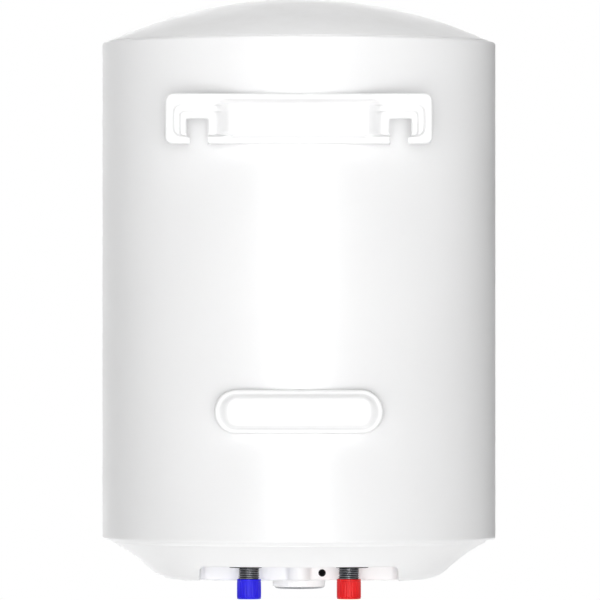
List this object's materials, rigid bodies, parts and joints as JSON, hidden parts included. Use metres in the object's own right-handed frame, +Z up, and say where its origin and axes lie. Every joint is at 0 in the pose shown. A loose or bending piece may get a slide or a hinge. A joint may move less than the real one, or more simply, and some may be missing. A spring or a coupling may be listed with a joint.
{
  "type": "wall-hung storage water heater",
  "caption": "Round wall-hung electric storage water heater with a domed top, a wall bracket with hook slots, a lower wall spacer, and two capped threaded pipes underneath.",
  "frame": {"origin": "on the wall plane, midway between the bracket's two hook slots, at the height of the slots' top edges, which bear on the wall hooks", "axes": "+Z up along the vessel's axis, +Y into the wall, so the heater's front faces -Y; +X is to the right of a person who faces the heater's front"},
  "size_m": [0.3959, 0.408, 0.6025],
  "materials": {
    "white_enamel": "satin",
    "cover_plastic": "satin",
    "grey_plastic": "matte",
    "zinc_steel": "satin",
    "thread_steel": "satin",
    "tank_enamel": "satin",
    "foam": "matte",
    "ivory_plastic": "matte",
    "black_plastic": "matte",
    "black_rubber": "matte",
    "blue_plastic": "satin",
    "red_plastic": "satin",
    "copper": "satin",
    "brass": "satin",
    "magnesium": "matte",
    "trim_chrome": "polished",
    "amber_lens": "gloss",
    "lamp_glass": "gloss",
    "brown_wire": "satin",
    "blue_wire": "satin",
    "green_wire": "satin"
  },
  "bodies": {
    "vessel": {"outer_shell": "white_enamel", "top_cover": "cover_plastic", "bottom_cover": "cover_plastic", "pipe_bay_tray": "cover_plastic", "bay_end_walls": "cover_plastic", "cord_entry_panel": "cover_plastic", "base_ring": "grey_plastic", "cover_screws": "zinc_steel", "insulation_foam": "foam", "tank_barrel": "tank_enamel", "tank_top_head": "tank_enamel", "tank_bottom_head": "tank_enamel", "bracket_saddle": "tank_enamel", "bracket_legs": "white_enamel", "wall_bracket": "white_enamel", "wall_spacer": "white_enamel", "cold_inlet_pipe": "thread_steel", "hot_outlet_pipe": "thread_steel", "hot_standpipe": "zinc_steel", "inlet_diffuser": "ivory_plastic", "cold_pipe_collar": "black_rubber", "hot_pipe_collar": "black_rubber", "flange_neck": "tank_enamel", "flange_studs": "zinc_steel", "flange_gasket": "black_rubber", "flange_plate": "zinc_steel", "flange_nuts": "zinc_steel", "heating_element": "copper", "element_bushings": "ivory_plastic", "element_terminals": "brass", "magnesium_anode": "magnesium", "anode_nut": "zinc_steel", "sensor_well": "copper", "thermostat_rod": "brass", "thermostat_body": "black_plastic", "indicator_lens": "amber_lens", "neon_lamp": "lamp_glass", "cord_grommet": "black_rubber", "cord_clamp": "ivory_plastic", "clamp_screws": "zinc_steel", "terminal_block": "ivory_plastic", "live_wire": "brown_wire", "neutral_wire": "blue_wire", "earth_wire": "green_wire", "element_wires": "brown_wire", "lamp_wires": "black_rubber"},
    "knob": {"temperature_knob": "cover_plastic", "knob_trim_ring": "trim_chrome", "thermostat_spindle": "zinc_steel"},
    "cold_cap": {"cold_thread_cap": "blue_plastic"},
    "hot_cap": {"hot_thread_cap": "red_plastic"},
    "reset": {"reset_button": "red_plastic"}
  },
  "joints": [
    {"name": "knob_turn", "type": "hinge", "parent": "vessel", "child": "knob", "pos_m": [0, -0.24, -0.46873], "axis": [0, 0, 1], "range_deg": [-135, 135]},
    {"name": "cold_cap_pull", "type": "slide", "parent": "vessel", "child": "cold_cap", "axis": [0, 0, -1], "range_m": [0, 0.06]},
    {"name": "hot_cap_pull", "type": "slide", "parent": "vessel", "child": "hot_cap", "axis": [0, 0, -1], "range_m": [0, 0.06]},
    {"name": "reset_press", "type": "slide", "parent": "vessel", "child": "reset", "axis": [0, 0, 1], "range_m": [0, 0.0018], "stiffness_N_per_m": 400, "springref_m": -0.002}
  ]
}
